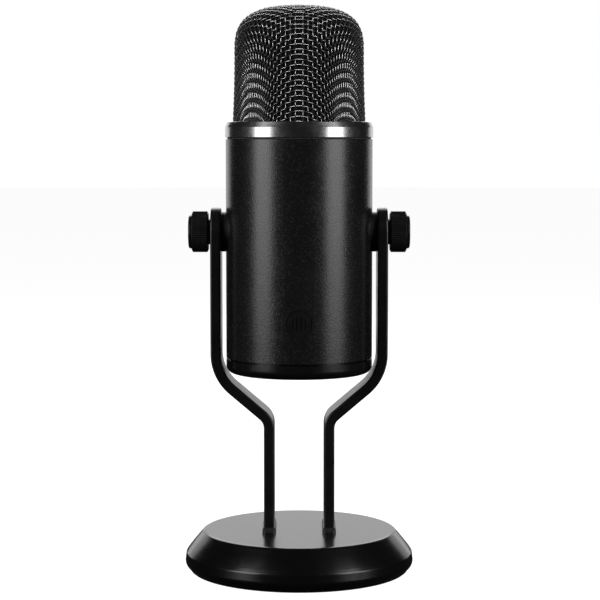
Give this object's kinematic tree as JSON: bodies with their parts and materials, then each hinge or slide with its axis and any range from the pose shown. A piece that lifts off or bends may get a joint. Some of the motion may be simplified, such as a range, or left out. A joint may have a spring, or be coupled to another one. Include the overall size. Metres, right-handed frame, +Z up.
{
  "type": "desktop microphone",
  "caption": "Side-address desktop microphone with a mesh dome, tilting in a bent-bar yoke on a round weighted base, with rear dials and sockets underneath.",
  "frame": {"origin": "centre of the base's underside, where the rubber pad meets the table", "axes": "+Z up through the stand and the upright head, -Y out of the plain front of the head, +X to the right seen from the front, along the tilt axis"},
  "size_m": [0.1194, 0.1194, 0.2937],
  "materials": {
    "cast_black": "satin black powder coat on cast zinc",
    "steel": "bright zinc plate",
    "pad": "soft non-slip rubber",
    "bar": "satin black powder coat on steel bar",
    "boot": "soft black moulding",
    "body_paint": "satin black paint with a fine metallic fleck",
    "cap_paint": "satin black paint",
    "black_screw": "blackened steel",
    "brass": "turned brass",
    "gasket": "black rubber",
    "black_chrome": "gloss black chrome",
    "mesh": "blackened steel wire",
    "foam": "open-cell black foam",
    "inner_plastic": "black glass-filled nylon",
    "badge": "black moulding, low relief",
    "capsule": "plated capsule housing",
    "board": "green circuit board",
    "lead": "flat flexible lead",
    "connector": "plated connector shell",
    "jack": "black moulding",
    "pot": "pressed metal can",
    "light": "frosted light guide",
    "spacer": "black acetal",
    "dial": "black moulding with fine flutes",
    "button": "satin black moulding",
    "thumb": "black, fluted edge",
    "thumb_cap": "semi-gloss black",
    "stud": "plain steel"
  },
  "bodies": {
    "stand": {"base_cover": "cast_black", "base_weight": "steel", "base_plate": "steel", "base_pad": "pad", "base_plate_screws": "steel", "leg_boot_left": "boot", "leg_boot_right": "boot", "arm_left": "bar", "arm_right": "bar", "arm_screws": "steel"},
    "volume_control": {"volume_dial": "dial"},
    "gain_control": {"gain_dial": "dial"},
    "pattern_control": {"pattern_dial": "dial"},
    "mute_control": {"mute_button": "button"},
    "left_washer": {"thumb_washer_left": "spacer"},
    "right_washer": {"thumb_washer_right": "spacer"},
    "left_thumb_screw": {"thumb_knob_left": "thumb", "thumb_cap_left": "thumb_cap", "thumb_stud_left": "stud"},
    "right_thumb_screw": {"thumb_knob_right": "thumb", "thumb_cap_right": "thumb_cap", "thumb_stud_right": "stud"},
    "head": {"body_shell": "body_paint", "bottom_cap": "cap_paint", "cap_screws": "black_screw", "mount_insert": "brass", "neck_gasket": "gasket", "neck_ring": "black_chrome", "grille_mesh": "mesh", "windscreen_foam": "foam", "grille_rim": "inner_plastic", "badge": "badge", "capsule_bracket": "inner_plastic", "capsule_isolator": "gasket", "capsule_front": "capsule", "capsule_rear_left": "capsule", "capsule_rear_right": "capsule", "preamp_board": "board", "capsule_lead": "lead", "chassis": "inner_plastic", "main_board": "board", "board_screws": "steel", "io_board": "board", "usb_socket": "connector", "headphone_jack": "jack", "volume_pot": "pot", "gain_pot": "pot", "pattern_switch": "pot", "mute_switch": "pot", "mute_light_ring": "light", "pivot_insert_left": "brass", "pivot_insert_right": "brass", "pivot_spacer_left": "spacer", "pivot_spacer_right": "spacer"}
  },
  "joints": [
    {"name": "head_tilt", "type": "hinge", "parent": "stand", "child": "head", "pos_m": [0, 0, 0.1772], "axis": [1, 0, 0], "range_deg": [-150, 150]},
    {"name": "left_thumb_screw_travel", "type": "slide", "parent": "head", "child": "left_washer", "axis": [-1, 0, 0], "range_m": [0, 0.002]},
    {"name": "left_thumb_screw_turn", "type": "hinge", "parent": "left_washer", "child": "left_thumb_screw", "pos_m": [-0.05, 0, 0.1772], "axis": [-1, 0, 0], "range_deg": [0, 721]},
    {"name": "right_thumb_screw_travel", "type": "slide", "parent": "head", "child": "right_washer", "axis": [1, 0, 0], "range_m": [0, 0.002]},
    {"name": "right_thumb_screw_turn", "type": "hinge", "parent": "right_washer", "child": "right_thumb_screw", "pos_m": [0.05, 0, 0.1772], "axis": [1, 0, 0], "range_deg": [0, 721]},
    {"name": "volume_turn", "type": "hinge", "parent": "head", "child": "volume_control", "pos_m": [0, 0.04, 0.187], "axis": [0, 1, 0], "range_deg": [-140, 140]},
    {"name": "gain_turn", "type": "hinge", "parent": "head", "child": "gain_control", "pos_m": [0, 0.04, 0.163], "axis": [0, 1, 0], "range_deg": [-140, 140]},
    {"name": "pattern_turn", "type": "hinge", "parent": "head", "child": "pattern_control", "pos_m": [0, 0.04, 0.139], "axis": [0, 1, 0], "range_deg": [-45, 90]},
    {"name": "mute_press", "type": "slide", "parent": "head", "child": "mute_control", "axis": [0, -1, 0], "range_m": [0, 0.0009], "stiffness_N_per_m": 1500, "springref_m": -0.0008}
  ],
  "couplings": [
    {"joint": "left_thumb_screw_turn", "follows": "left_thumb_screw_travel", "rad_per_m": 6283.2},
    {"joint": "right_thumb_screw_turn", "follows": "right_thumb_screw_travel", "rad_per_m": 6283.2}
  ]
}
